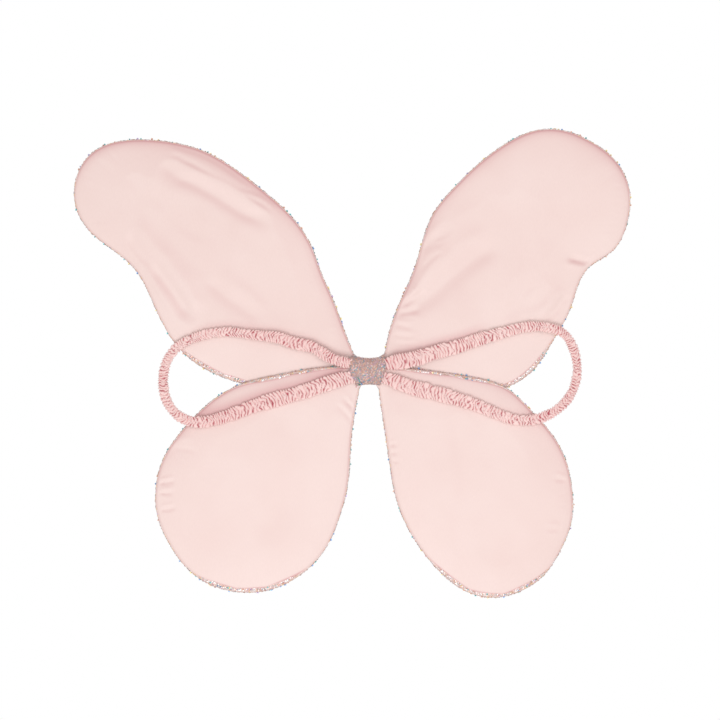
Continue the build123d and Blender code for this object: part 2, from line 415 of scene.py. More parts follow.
def glitter_cloth_material(name, base, fleck_size, flecks, gap, roughness=0.5):
    """Net cloth crowded with tiny sequins: every cell has its own pastel or metallic tone."""
    material, tree, coords = new_material(name)
    warp = texture(tree, "Noise", coords, Scale=300.0, Detail=2.0)
    moved = mix_colour(tree, 0.0012, coords, warp.outputs["Color"], "ADD")
    cells = texture(tree, "Voronoi", moved, Scale=1.0 / fleck_size, Randomness=1.0)
    split = node(tree, "ShaderNodeSeparateColor")
    tree.links.new(cells.outputs["Color"], split.inputs[0])
    tone = ramp(tree, split.outputs[0], flecks, "CONSTANT")
    large = texture(tree, "Noise", coords, Scale=160.0, Detail=3.0, Roughness=0.7)
    keep = ramp(tree, large.outputs[0], [(0.38, (0.25, 0.25, 0.25)), (0.62, (0.9, 0.9, 0.9))])
    tone = mix_colour(tree, keep, base, tone)
    edge = texture(tree, "Voronoi", moved, Scale=1.0 / fleck_size, feature="DISTANCE_TO_EDGE")
    dark = ramp(tree, edge.outputs["Distance"], [(0.0, gap), (0.22, (1, 1, 1))])
    tone = mix_colour(tree, 0.8, tone, dark, "MULTIPLY")
    surface(tree, tone, (edge.outputs["Distance"], 0.7, 0.0006),
            Roughness=roughness, Metallic=0.15, Sheen_Weight=0.1)
    return material


def fibre_material(name, light, dark, scale, strength=0.6, roughness=0.9):
    """Matt fibrous stuff, such as wadding or thread."""
    material, tree, coords = new_material(name)
    fibres = texture(tree, "Noise", coords, Scale=scale, Detail=6.0, Roughness=0.75,
                     Distortion=1.5)
    tone = ramp(tree, fibres.outputs[0], [(0.3, dark), (0.7, light)])
    surface(tree, tone, (fibres.outputs[0], strength, 0.0006), Roughness=roughness)
    return material


def woven_material(name, light, dark, ribs_scale):
    """Narrow woven tape or elastic with ribs across it."""
    material, tree, coords = new_material(name)
    ribs = texture(tree, "Wave", coords, Scale=ribs_scale, Distortion=0.6, Detail=2.0)
    tone = ramp(tree, ribs.outputs[1], [(0.2, dark), (0.8, light)])
    surface(tree, tone, (ribs.outputs[1], 0.5, 0.0003), Roughness=0.7)
    return material


def steel_material():
    material, tree, coords = new_material("drawn_steel_wire")
    marks = texture(tree, "Noise", coords, Scale=900.0, Detail=4.0, Roughness=0.7)
    tone = ramp(tree, marks.outputs[0], [(0.3, (0.33, 0.33, 0.34)), (0.7, (0.62, 0.62, 0.63))])
    surface(tree, tone, (marks.outputs[0], 0.2, 0.0001), Metallic=1.0, Roughness=0.35)
    return material


PEACH = (0.80, 0.50, 0.38)
PALE = (0.86, 0.74, 0.72)
TEAL = (0.16, 0.50, 0.52)
LILAC = (0.58, 0.46, 0.72)
GREY = (0.52, 0.55, 0.58)
BLUE = (0.20, 0.36, 0.66)
GOLD = (0.92, 0.74, 0.34)
WHITE = (0.93, 0.90, 0.90)
ROSE = (0.80, 0.42, 0.46)
GREEN = (0.05, 0.32, 0.16)

# tints of the sequins and beads, with how common each is
EDGE_TINTS = [(WHITE, 38), (PALE, 36), (PEACH, 14), (ROSE, 4), (TEAL, 4), (BLUE, 2),
              (LILAC, 4), (GOLD, 3)]
BEAD_TINTS = [(TEAL, 26), (BLUE, 14), (LILAC, 12), (GOLD, 16), (PEACH, 20), (WHITE, 12)]
FRONT_TINTS = [(WHITE, 20), (PALE, 30), (PEACH, 18), (ROSE, 8), (TEAL, 5), (LILAC, 8),
               (GOLD, 5), (GREY, 6)]

# the satin's shade attribute paints shade on it in a darker rose
SATIN = satin_material("pink_satin", (0.885, 0.742, 0.708), (0.862, 0.705, 0.670),
                       "shade", None, (0.70, 0.40, 0.41))
# the ruched satin gets painted shade, a deep rose, where its fold value is low in the pleats'
# valleys
RUCHED = satin_material("ruched_satin", (0.95, 0.74, 0.71), (0.92, 0.66, 0.64), "fold",
                        [(0.05, (1, 1, 1)), (0.38, (0.5, 0.5, 0.5)), (0.76, (0, 0, 0))],
                        (0.48, 0.09, 0.12))
SEQUINS = sequin_material()
NET = glitter_cloth_material(
    "sequin_net", (0.86, 0.66, 0.59), 0.0016,
    [(0.0, PALE), (0.3, (0.86, 0.60, 0.48)), (0.5, (0.70, 0.66, 0.68)), (0.58, WHITE),
     (0.84, (0.40, 0.62, 0.64)), (0.88, (0.72, 0.60, 0.80)), (0.93, GOLD)],
    (0.86, 0.72, 0.68))
BAND = glitter_cloth_material(
    "band_glitter", (0.62, 0.41, 0.36), 0.0013,
    [(0.0, (0.62, 0.40, 0.34)), (0.20, (0.78, 0.54, 0.46)), (0.36, (0.46, 0.42, 0.48)),
     (0.50, (0.28, 0.46, 0.54)), (0.60, (0.58, 0.42, 0.62)), (0.70, (0.86, 0.66, 0.48)),
     (0.80, (0.08, 0.36, 0.46)), (0.87, (0.92, 0.84, 0.84))], (0.70, 0.56, 0.54), 0.45)
WADDING = fibre_material("polyester_wadding", (0.9, 0.9, 0.89), (0.72, 0.72, 0.72), 260.0)
ELASTIC = woven_material("woven_elastic", (0.86, 0.82, 0.80), (0.60, 0.56, 0.55), 380.0)
TAPE = woven_material("binding_tape", (0.84, 0.83, 0.80), (0.62, 0.61, 0.58), 300.0)
THREAD = fibre_material("sewing_thread", (0.86, 0.62, 0.60), (0.66, 0.42, 0.42), 1500.0, 0.5, 0.55)
STEEL = steel_material()
CAD_MATERIALS = {"wire_stems": STEEL, "stem_tape": TAPE, "strap_bar_tacks": THREAD,
                 "band_closing_stitches": THREAD}


# ------------------------------------------------------------------ the lobes
def away_from_root(points):
    """Nought beside the band, rising to one where the lobe has its full thickness."""
    return smoothstep((np.hypot(points[:, 0], points[:, 1]) - ROOT_START) / ROOT_REACH)


def hem_half(points):
    """Half thickness of the hem, a little less beside the band."""
    return EDGE_HALF * (0.75 + 0.25 * away_from_root(points))


def hem_round(depth):
    """Share of the hem's half thickness at a depth inside the edge."""
    return np.sqrt(np.clip(1 - (1 - np.clip(depth / WIRE_REACH, 0, 1)) ** 2, 0, 1))


def swell(depth):
    """How far the wadding lifts the cloth at a depth inside the edge."""
    return SWELL * (1 - np.exp(-np.clip(depth - SWELL_START, 0, None) / SWELL_REACH))


# where more of the rolled edge shows on the satin side: x, z, reach and how much more
WIDE_STRIPS = {
    "left_upper": [(-165, 3, 50, 3.0), (-135, -10, 40, 3.0)],
    "right_upper": [(165, 0, 50, 3.0), (145, -14, 40, 2.6)],
    "left_lower": [(-150, -219, 42, 3.6), (-120, -219, 42, 3.6), (-90, -219, 42, 3.6),
                   (-95, -4, 45, 2.6), (-62, 1, 40, 2.0)],
    "right_lower": [(85, -214, 44, 3.4), (120, -227, 44, 3.4), (158, -218, 44, 3.4),
                    (60, 2, 50, 2.2), (105, -6, 45, 2.4)],
}


def strip_width(name, edge):
    """How wide the rolled edge shows on the satin side, along the outline."""
    width = np.full(len(edge), STRIP_LEAST)
    for x, z, reach, amount in WIDE_STRIPS[name]:
        far = np.hypot(edge[:, 0] - x, edge[:, 1] - z)
        width = np.maximum(width, STRIP_LEAST + amount * smoothstep(1 - far / reach))
    return width


class Lobe:
    """One lobe: its edge in the x-z plane, the way inwards from it, and its thickness."""

    def __init__(self, name):
        self.name = name
        self.body = name + "_lobe"
        self.side = -1 if name.startswith("left") else 1
        self.upper = name.endswith("upper")
        self.mid = UPPER_MID if self.upper else LOWER_MID
        self.closing = np.array(ROOT_CLOSINGS[name], float)
        outline, self.along = smooth_path(OUTLINES[name], EDGE_STEP)
        self.poly = np.vstack([outline, self.closing])
        x, z = self.poly.T
        area = 0.5 * np.sum(x * np.roll(z, -1) - np.roll(x, -1) * z)
        self.area = abs(area)
        self.inward = sideways(outline) * np.sign(area)
        self.edge = outline + self.inward * EDGE_PULL
        self.strip = strip_width(name, self.edge)
        self.half = hem_half(self.edge)

    def blend(self, obj):
        """Bakes the object's transform into its mesh."""
        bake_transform(obj)

    def place(self, depth, y, pick=slice(None)):
        """Points at a depth inside the picked places of the edge, and at y."""
        flat = self.edge[pick] + self.inward[pick] * np.reshape(depth, (-1, 1))
        return np.column_stack([flat[:, 0], np.broadcast_to(y, len(flat)), flat[:, 1]])

    def grid(self, inset, spacing):
        """Triangulated flat panel, with rings of points that follow the edge."""
        rings = [self.edge + self.inward * np.reshape(inset + depth, (-1, 1))
                 for depth in (0.0, *RING_DEPTHS)]
        border = np.vstack([rings[0], self.closing])
        layers = [border]
        for depth, ring in zip(RING_DEPTHS, rings[1:]):
            far, _ = nearest_on_path(rings[0], ring)
            layers.append(ring[inside(border, ring) & (far > depth * 0.8)])
        field = staggered(border.min(0), border.max(0), spacing, 0.87)
        field = field[inside(border, field)]
        far, _ = nearest_on_path(rings[0], field)
        layers.append(field[far > FIELD_DEPTH])
        made = geometry.delaunay_2d_cdt([Vector(p) for p in np.vstack(layers)], [],
                                        [list(range(len(border)))], 1, 1e-4)
        return np.array([tuple(v) for v in made[0]]), [list(f) for f in made[2]]

    def thickness(self, points):
        """Half thickness of the padded lobe at flat points."""
        far, _ = nearest_on_path(self.edge, points)
        return hem_half(points) * hem_round(far) + swell(far) * away_from_root(points)


# soft creases in the satin: start, end, half width, depth (positive sinks in), all mm
CREASES = {
    "left_upper": [
        ((-206, 208), (-102, 145), 8, 1.1), ((-190, 196), (-112, 150), 6, 0.6),
        ((-241, 138), (-177, 53), 8, 1.5), ((-214, 103), (-182, 58), 6, 0.8),
        ((-242, 195), (-166, 132), 8, 0.5), ((-160, 90), (-112, 50), 7, 0.8),
        ((-237, 180), (-124, 55), 10, 0.4), ((-150, 120), (-70, 40), 12, 0.3),
    ],
    "right_upper": [
        ((34, 60), (126, 124), 10, 1.7), ((221, 108), (200, 114), 4, 1.4),
        ((177, 50), (200, 76), 5, 1.2), ((140, 54), (166, 92), 8, 0.8),
        ((160, 60), (180, 84), 6, 0.5), ((48, 121), (76, 135), 6, 0.7),
        ((33, 65), (54, 80), 3, 0.7), ((30, 57), (50, 62), 3, 0.7),
        ((27, 46), (42, 44), 2.5, 0.5), ((26, 36), (44, 33), 2.5, 0.5),
        ((28, 28), (48, 26), 3, 0.5),
    ],
    "left_lower": [
        ((-208, -111), (-194, -110), 2.0, 0.8), ((-208, -121), (-196, -122), 2.0, 0.7),
        ((-207, -138), (-193, -137), 2.2, 0.7), ((-198, -78), (-172, -78), 6, 0.6),
        ((-24, -27), (-12, -42), 1.8, 0.5), ((-30, -33), (-16, -52), 2.0, 0.4),
    ],
    "right_lower": [
        ((186, -107), (196, -108), 2.5, 0.7), ((178, -158), (190, -157), 2.5, 0.6),
        ((20, -72), (27, -73), 1.8, 0.6), ((20, -80), (28, -82), 1.8, 0.6),
        ((21, -88), (30, -91), 1.8, 0.5), ((91, -40), (92, -200), 9, 0.3),
    ],
}


def crease_depth(name, points):
    """How far the creases sink the satin at flat points; a low ridge runs along one side."""
    depth = np.zeros(len(points))
    for index, (start, end, half, deep) in enumerate(CREASES[name]):
        axis = np.subtract(end, start).astype(float)
        length = np.linalg.norm(axis)
        axis /= length
        rel = points - start
        s = rel @ axis
        u = rel[:, 1] * axis[0] - rel[:, 0] * axis[1]
        u = u + 0.35 * half * lattice(index + 40, s / (half * 3))
        blur = half * 2.5
        fade = smoothstep((s + half) / blur) * smoothstep((length + half - s) / blur)
        groove = np.exp(-(u / half) ** 2) - 0.45 * np.exp(-((u - 1.7 * half) / half) ** 2)
        depth += deep * groove * fade
    return depth


def satin_panel(lobe):
    """The satin back, and its width and height."""
    flat, faces = lobe.grid(lobe.strip, GRID)
    far, _ = nearest_on_path(lobe.edge, flat)
    x, z = flat[:, 0], flat[:, 1]
    seed = 11 if lobe.upper else 12
    wander = 0.45 * lattice(seed, x / 46 + 9, z / 46 + 30) + 0.16 * lattice(seed + 3, x / 15, z / 22)
    sunk = crease_depth(lobe.name, flat) * smoothstep((far - 0.8) / 5)
    half = lobe.thickness(flat) + wander * smoothstep((far - 1.5) / 14) - sunk
    verts = np.stack([x, lobe.mid - half, z], 1)
    obj = make_object(lobe.name + "_satin", verts, faces, SATIN)
    face_towards(obj, Vector((0, -1, 0)))
    puff(obj, far)
    # painted shade on the satin: where it turns from the low front light, the strap's shadow above
    # its arms, and beside the hems
    tone = turned_away(obj) + strap_shade(lobe, flat) + hem_shade(lobe, flat)
    point_value(obj, "shade", np.clip(tone, 0, 0.95))
    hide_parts(lobe.name + "_satin_back")
    lobe.blend(obj)
    return obj, flat.max(0) - flat.min(0)


def front_panel(lobe):
    """The sequinned front's net."""
    flat, faces = lobe.grid(0.0, GRID * 1.3)
    half = lobe.thickness(flat) - 0.3
    verts = np.stack([flat[:, 0], lobe.mid + half, flat[:, 1]], 1)
    obj = make_object(lobe.name + "_sequin_cloth", verts, faces, NET)
    face_towards(obj, Vector((0, 1, 0)))
    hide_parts(lobe.name + "_sequin_front")
    lobe.blend(obj)
    return obj


CLOTH_FRAMES = 20
CLOTH_SETTINGS = {
    "quality": 4, "mass": 0.2, "tension_stiffness": 15, "compression_stiffness": 15,
    "shear_stiffness": 5, "bending_stiffness": 0.3, "use_pressure": True,
    "uniform_pressure_force": 4, "vertex_group_mass": "rim",
}
HELD_RADIUS = 0.030     # metres; the cloth is held this far round the middle
LARGEST_MOVE = 0.0007   # metres


def puff(obj, far):
    """Lets the wadding's pressure swell the cloth between its sewn rim and its creases."""
    before = vertex_vectors(obj.data, "co")
    hold = np.clip(1 - (far - 2.0) / 6.0, 0.02, 1)
    hold = np.where(np.hypot(before[:, 0], before[:, 2]) < HELD_RADIUS, 1.0, hold)
    levels = np.round(hold, 1)
    group = obj.vertex_groups.new(name="rim")
    for level in np.unique(levels):
        chosen = np.nonzero(levels == level)[0]
        group.add([int(i) for i in chosen], float(max(level, 0.02)), "REPLACE")
    cloth = obj.modifiers.new("cloth", "CLOTH")
    for key, value in CLOTH_SETTINGS.items():
        setattr(cloth.settings, key, value)
    cloth.settings.effector_weights.gravity = 0
    cloth.point_cache.frame_start = 1
    cloth.point_cache.frame_end = CLOTH_FRAMES
    scene = bpy.context.scene
    for frame_number in range(1, CLOTH_FRAMES + 1):
        scene.frame_set(frame_number)
    shaped = obj.evaluated_get(bpy.context.evaluated_depsgraph_get())
    move = vertex_vectors(shaped.data, "co") - before
    size = np.linalg.norm(move, axis=1)[:, None]
    move = move * np.minimum(1, LARGEST_MOVE / np.maximum(size, 1e-9))
    obj.modifiers.clear()
    obj.vertex_groups.clear()
    scene.frame_set(1)
    obj.data.vertices.foreach_set("co", (before + move).ravel())
    obj.data.update()


# where a strap's arm throws painted shadow on the cloth above it: the arm's first and last share of
# the loop, how much, and how far up in mm
STRAP_SHADES = {
    "left_upper": (0.02, 0.40, 0.30, 10),
    "left_lower": (0.60, 0.98, 0.72, 15),
    "right_upper": (0.02, 0.26, 0.62, 14),
    "right_lower": (0.62, 0.98, 0.15, 8),
}


def strap_shade(lobe, flat):
    """Painted shadow, in a warm tone, that the strap lying on the cloth throws just above its arm.
    """
    path, along = smooth_path(STRAPS["left" if lobe.side < 0 else "right"], 2.0)
    first, last, amount, reach = STRAP_SHADES[lobe.name]
    share = along / along[-1]
    arm = path[(share >= first) & (share <= last)]
    if arm[0, 0] > arm[-1, 0]:
        arm = arm[::-1]
    height = flat[:, 1] - np.interp(flat[:, 0], arm[:, 0], arm[:, 1])
    out = np.abs(flat[:, 0])
    ends = smoothstep((out - 18) / 12) * smoothstep((np.abs(arm[:, 0]).max() - out) / 30)
    return amount * ends * (1 - smoothstep((height - 5.0) / reach)) * smoothstep((height + 6) / 7)


def hem_shade(lobe, flat):
    """Painted shade beside the hems that face upwards, and a thin line of painted shade in the seam.
    """
    far, along = nearest_on_path(lobe.edge, flat)
    index = np.clip((along / EDGE_STEP).astype(int), 0, len(lobe.edge) - 1)
    upward = np.clip(-lobe.inward[index, 1] * 1.3, 0, 1)
    soft = (0.32 if lobe.upper else 0.15) * upward * np.exp(-(far / 7.5) ** 2)
    strip = lobe.strip[index]
    seam = 0.2 + 0.75 * np.clip((strip - 1.0) / 1.5, 0, 1)
    return soft + seam * np.exp(-(np.clip(far - strip, 0, None) / 0.9) ** 2)


def turned_away(obj):
    """How far each place on the cloth is turned from light that comes from low in front; the satin
    gets this as painted shade.
    """
    facing = vertex_vectors(obj.data, "normal") @ np.array([-0.12, -0.80, -0.59])
    return np.clip((0.80 - facing) / 0.48, 0, 0.6)


def rolled_edge(lobe):
    """The sequin cloth's margin, rolled over the wire and onto the satin side."""
    wobble = 0.25 * lattice(5, lobe.along / 3.1)
    rows = [lobe.place(4.2, lobe.mid + lobe.half + 0.9)]
    first = -math.pi / 2
    last = np.arccos(np.clip(1 - lobe.strip / WIRE_REACH, 0, 1))
    for share in np.linspace(0, 1, 9):
        angle = first + share * (last - first)
        depth = WIRE_REACH * (1 - np.cos(angle)) - 0.25 * np.cos(angle) - wobble * 0.5
        rows.append(lobe.place(depth, lobe.mid - (lobe.half + 0.2) * np.sin(angle)))
    # the margin's last rows sink under the satin
    for extra, drop in ((0.0, -0.1), (0.9, 0.45), (2.2, 0.7)):
        depth = np.maximum(lobe.strip, STRIP_LEAST) + extra
        lift = lobe.half * hem_round(depth) + swell(depth) - drop
        rows.append(lobe.place(depth, lobe.mid - lift))
    faces = grid_faces(len(rows), len(lobe.edge))
    obj = make_object(lobe.name + "_rolled_edge_cloth", np.vstack(rows), faces, NET)
    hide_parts(lobe.name + "_rolled_edge")
    lobe.blend(obj)
    return obj


def discs(name, centres, normals, radii, tints, cup=0.22):
    """Many small dished sequins as one mesh."""
    n = len(centres)
    helper = np.where(np.abs(normals[:, :1]) < 0.8, (1.0, 0, 0), (0, 0, 1.0))
    u = unit(np.cross(normals, helper))
    v = np.cross(normals, u)
    turn = RNG.uniform(0, 2 * math.pi, n)
    rings = [centres - normals * (radii * cup)[:, None]]
    for k in range(SEQUIN_SIDES):
        a = turn + 2 * math.pi * k / SEQUIN_SIDES
        rings.append(centres + (u * np.cos(a)[:, None] + v * np.sin(a)[:, None]) * radii[:, None])
    base = np.arange(n) * (SEQUIN_SIDES + 1)
    faces = [np.stack([base, base + 1 + k, base + 1 + (k + 1) % SEQUIN_SIDES], 1)
             for k in range(SEQUIN_SIDES)]
    obj = make_object(name, np.stack(rings, 1).reshape(-1, 3), np.vstack(faces).tolist(), SEQUINS,
                      smooth=False)
    point_colour(obj, "tint", np.repeat(tints, SEQUIN_SIDES + 1, axis=0))
    return obj


def tint_mix(count, palette):
    """One tint for each of count sequins, a little lighter or darker than in the palette."""
    colours = np.array([colour for colour, share in palette])
    shares = np.array([share for colour, share in palette], float)
    pick = RNG.choice(len(colours), count, p=shares / shares.sum())
    tone = RNG.uniform(0.82, 1.08, (count, 1))
    return np.clip(colours[pick] * tone, 0, 1)


def picked(count, chance):
    """Which of count places are drawn, each with the same chance."""
    return RNG.uniform(0, 1, count) < chance


def edge_sequins(lobe):
    """Sequins and beads sewn on the rolled edge."""
    count = len(lobe.edge)
    along = unit(np.gradient(lobe.edge, axis=0))
    centres, normals, radii = [], [], []
    # rows round the roll: angle from the outline towards the satin side, chance at each place
    for degrees, chance in ((-72, 0.8), (-48, 0.8), (-22, 0.7), (3, 0.42), (24, 0.22)):
        pick = np.nonzero(picked(count, chance))[0]
        a = np.radians(degrees + RNG.uniform(-11, 11, len(pick)))
        slide = RNG.uniform(-0.8, 0.8, (len(pick), 1))
        depth = WIRE_REACH * (1 - np.cos(a)) - 0.45 * np.cos(a)
        row = lobe.place(depth, lobe.mid - (lobe.half[pick] + 0.45) * np.sin(a), pick)
        row[:, ::2] += along[pick] * slide
        centres.append(row)
        x, z = (-lobe.inward[pick] * np.cos(a)[:, None]).T
        normals.append(np.column_stack([x, -np.sin(a), z]) + RNG.normal(0, 0.33, (len(pick), 3)))
        radii.append(RNG.uniform(0.45, 0.95 if degrees > -10 else 1.2, len(pick)))
    # single larger beads that stand out from the outline
    first_bead = sum(len(part) for part in radii)
    pick = np.nonzero(picked(count, 0.11))[0]
    beads_drawn = len(pick)
    centres.append(lobe.place(-RNG.uniform(0.5, 1.1, beads_drawn),
                              lobe.mid - RNG.uniform(-0.8, 1.3, beads_drawn), pick))
    x, z = (-lobe.inward[pick] * 0.3).T
    normals.append(np.column_stack([x, -np.ones(beads_drawn), z]))
    radii.append(RNG.uniform(0.75, 1.15, beads_drawn))
    # two rows on the strip that shows on the satin side
    for share in (0.45, 0.8):
        pick = np.nonzero((lobe.strip > 2.4) & picked(count, 0.85))[0]
        depth = np.maximum(lobe.strip[pick] * share + RNG.uniform(-0.5, 0.5, len(pick)), 1.8)
        lift = lobe.half[pick] + 0.5 + swell(depth)
        centres.append(lobe.place(depth, lobe.mid - lift, pick))
        normals.append(np.array([0, -1.0, 0]) + RNG.normal(0, 0.28, (len(pick), 3)))
        radii.append(RNG.uniform(0.6, 1.1, len(pick)))
    centres, normals, radii = np.vstack(centres), unit(np.vstack(normals)), np.concatenate(radii)
    tints = tint_mix(len(centres), EDGE_TINTS)
    tints[first_bead:first_bead + beads_drawn] = tint_mix(beads_drawn, BEAD_TINTS)
    far = np.hypot(centres[:, 0], centres[:, 2]) > SEQUINS_FROM
    obj = discs(lobe.name + "_edge_sequins", centres[far], normals[far], radii[far], tints[far])
    lobe.blend(obj)
    return obj


def front_sequins(lobe):
    """Overlapping rows of sequins over the decorated side, clear of the band."""
    points = staggered(lobe.poly.min(0), lobe.poly.max(0), SEQUIN_SPACING, 0.8)
    points = points + RNG.normal(0, 0.22, points.shape)
    points = points[inside(lobe.poly, points)]
    far, _ = nearest_on_path(lobe.edge, points)
    under_band = (np.abs(points) < BAND_ROOM).all(1)
    points = points[(far > 1.6) & ~under_band]
    lift = lobe.thickness(points) - 0.3 + 0.42
    centres = np.column_stack([points[:, 0], lobe.mid + lift, points[:, 1]])
    normals = unit(RNG.normal(0, 0.09, (len(points), 3)) + np.array([0, 1.0, 0.30]))
    obj = discs(lobe.name + "_front_sequins", centres, normals,
                RNG.uniform(1.35, 1.6, len(points)), tint_mix(len(points), FRONT_TINTS), 0.18)
    lobe.blend(obj)
    return obj


def padding(lobe):
    """The wadding layer inside, a crowned pad with pulled-in edges."""
    flat, faces = lobe.grid(WADDING_INSET, WADDING_GRID)
    n = len(flat)
    far, _ = nearest_on_path(lobe.edge, flat)
    half = np.clip(lobe.thickness(flat) - 2.3, 0.3, None)
    half = half * np.sqrt(np.clip((far - 5.6) / 5, 0.05, 1))
    half = np.clip(half + 0.12 * lattice(77, flat[:, 0] / 5, flat[:, 1] / 5), 0.15, None)
    sunk = np.clip(crease_depth(lobe.name, flat), 0, None)
    front = np.stack([flat[:, 0], lobe.mid - np.clip(half - sunk, 0.1, None), flat[:, 1]], 1)
    back = np.stack([flat[:, 0], lobe.mid + half, flat[:, 1]], 1)
    # an edge that only one face has lies on the rim, and gets a side wall
    rim = {}
    for face in faces:
        for a, b in zip(face, face[1:] + face[:1]):
            key = (min(a, b), max(a, b))
            rim[key] = None if key in rim else (a, b)
    walls = [[b, a, a + n, b + n] for a, b in filter(None, rim.values())]
    all_faces = faces + [[v + n for v in reversed(face)] for face in faces] + walls
    obj = make_object(lobe.name + "_padding", np.vstack([front, back]), all_faces, WADDING)
    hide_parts(lobe.name + "_wadding")
    lobe.blend(obj)
    return obj


def hem_wire(lobe):
    """The drawn wire inside the hem, starting clear of the band."""
    outside = np.hypot(lobe.edge[:, 0], lobe.edge[:, 1]) > WIRE_FROM
    path = (lobe.edge + lobe.inward * WIRE_INSET)[outside]
    angles = 2 * math.pi * np.arange(10) / 10
    verts = swept(path, lobe.mid, WIRE_RADIUS * np.cos(angles), WIRE_RADIUS * np.sin(angles))
    faces = grid_faces(len(path), len(angles), closed_columns=True, capped=True)
    obj = make_object(lobe.name + "_hem_wire", verts, faces, STEEL)
    face_outwards(obj)
    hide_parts(lobe.name + "_wire")
    lobe.blend(obj)
    return obj


def build_lobe(name):
    lobe = Lobe(name)
    wire = hem_wire(lobe)
    satin, size = satin_panel(lobe)
    cloth = front_panel(lobe)
    roll = rolled_edge(lobe)
    edge = edge_sequins(lobe)
    front = front_sequins(lobe)
    pad = padding(lobe)


# ------------------------------------------------------------------ the arm straps
# depth of the straps' centre line against the share of the loop, upper arm first
STRAP_DEPTHS = ([0, 0.05, 0.14, 0.40, 0.52, 0.60, 0.95, 1.0],
                [-6.6, -7.4, -5.8, -4.6, -6.0, -9.2, -9.2, -6.8])
# full width against the share of the loop: widest by the band, narrow round the far end
STRAP_WIDTHS = {
    "left": ([0, 0.03, 0.085, 0.13, 0.155, 0.19, 0.26, 0.33, 0.42, 0.5, 0.57, 0.62, 0.66, 0.72,
              0.8, 0.9, 0.97, 1],
             [10, 10.5, 11, 13, 13, 11.5, 9, 9.2, 9.2, 9.4, 9.6, 11, 10.5, 13,
              14.6, 14.8, 14, 11]),
    "right": ([0, 0.04, 0.16, 0.30, 0.42, 0.52, 0.62, 0.75, 0.9, 0.96, 1],
              [11, 15, 14, 11, 9.0, 8.6, 9.6, 12, 15, 14.5, 11]),
}
DEPTH_SMOOTHING = 91    # points that the depth is averaged over, an odd number
ELASTIC_SECTION = np.array([
    (-3.0, 0.0), (-2.9, -0.3), (-1.5, -0.22), (0, -0.26), (1.5, -0.22), (2.9, -0.3),
    (3.0, 0.0), (2.9, 0.3), (1.5, 0.22), (0, 0.26), (-1.5, 0.22), (-2.9, 0.3)])


def strap_frame(side):
    """A strap's flat centre line, its depth and how far along each point is."""
    flat, along = smooth_path(STRAPS[side], STRAP_STEP)
    y = np.interp(along / along[-1], *STRAP_DEPTHS)
    kernel = np.hanning(DEPTH_SMOOTHING)
    y = np.convolve(np.pad(y, DEPTH_SMOOTHING // 2, mode="edge"), kernel / kernel.sum(), "valid")
    return flat, y + 0.5 * lattice(3 if side == "left" else 4, along / 23), along


def ruched_strap(side):
    """The casing, a flattened tube gathered into small uneven pleats, and its length."""
    flat, y, along = strap_frame(side)
    seed = 20 if side == "left" else 60

    def noise(offset, reach, around=0.0):
        return lattice(seed + offset, along[:, None] / reach, around)

    angle = 2 * math.pi * np.arange(STRAP_SIDES) / STRAP_SIDES
    u, w = signed_power(np.cos(angle), 0.75), signed_power(np.sin(angle), 0.75)
    flank = np.abs(np.cos(angle)) ** 3
    width = np.interp(along / along[-1], *STRAP_WIDTHS[side])[:, None]
    half = width / 2 * (1 + 0.07 * noise(9, 7))
    # pleats: unevenly spaced, leaning, bent towards the flanks
    pitch = 3.0 + 0.11 * (width - 9) + 0.9 * noise(1, 8)
    lean = 0.7 * noise(2, 16) + 0.2
    phase = np.cumsum(1 / pitch, axis=0) * along[1] + lean * u * 0.9
    phase = phase + 0.42 * noise(5, 3.4, u * 2.3 + 40) + 0.16 * noise(7, 1.8, u * 4 + 80)
    phase = phase + (0.75 + 0.4 * noise(3, 11)) * np.abs(u)
    # in places the pleats of the two halves interlock instead of running across
    split = 0.5 * smoothstep(0.75 + 1.6 * noise(11, 13))
    phase = phase + split * smoothstep((u + 0.2) / 0.4)
    ridge = np.abs(np.sin(math.pi * phase)) ** 0.95
    lowered = (1 - ridge) * (0.95 + 0.35 * noise(8, 4.3, u * 1.7 + 11))
    reach = half * u + np.sign(u) * flank * (0.6 - 1.7 * lowered)
    thick = STRAP_HALF_THICK - 2.1 * lowered * (1 - 0.45 * flank) + 0.25 * noise(10, 2.2, u * 3 + 7)
    verts = swept(flat, y, reach, w * np.clip(thick, 0.6, None))
    faces = grid_faces(len(flat), STRAP_SIDES, closed_columns=True)
    obj = make_object(side + "_strap_ruched", verts, faces, RUCHED)
    # fold is low in the pleats' valleys, which the material darkens as painted shade
    point_value(obj, "fold", (ridge + 0.1 + 0.34 * noise(12, 2.4, u * 1.6 + 5)).ravel())
    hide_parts(side + "_strap_casing")
    blend_strap(obj)
    return obj, along[-1]


def elastic_band(side):
    """Flat woven elastic inside the casing."""
    flat, y, _ = strap_frame(side)
    # fewer points than the casing has, and none at its very ends
    flat, y = flat[8:-8:4], y[8:-8:4]
    verts = swept(flat, y, ELASTIC_SECTION[:, 0], ELASTIC_SECTION[:, 1])
    faces = grid_faces(len(flat), len(ELASTIC_SECTION), closed_columns=True, capped=True)
    obj = make_object(side + "_elastic", verts, faces, ELASTIC)
    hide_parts(side + "_strap_elastic")
    blend_strap(obj)
    return obj


def blend_strap(obj):
    """Bakes the strap's transform into its mesh."""
    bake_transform(obj)


# ------------------------------------------------------------------ the centre
# the band's side edges, x against z
BAND_LEFT = ([-16.8, -13.6, -6, 1, 9, 13, 15.8], [-8.2, -12.8, -16.6, -19.2, -19.0, -16.6, -14.2])
BAND_RIGHT = ([-16, -12, -5, 3, 10, 15.8], [11.0, 12.9, 15.4, 17.4, 16.9, 15.0])
BAND_MID = -1.5         # depth of the band's middle
BAND_DEPTH = 9.2        # half its depth, front to back


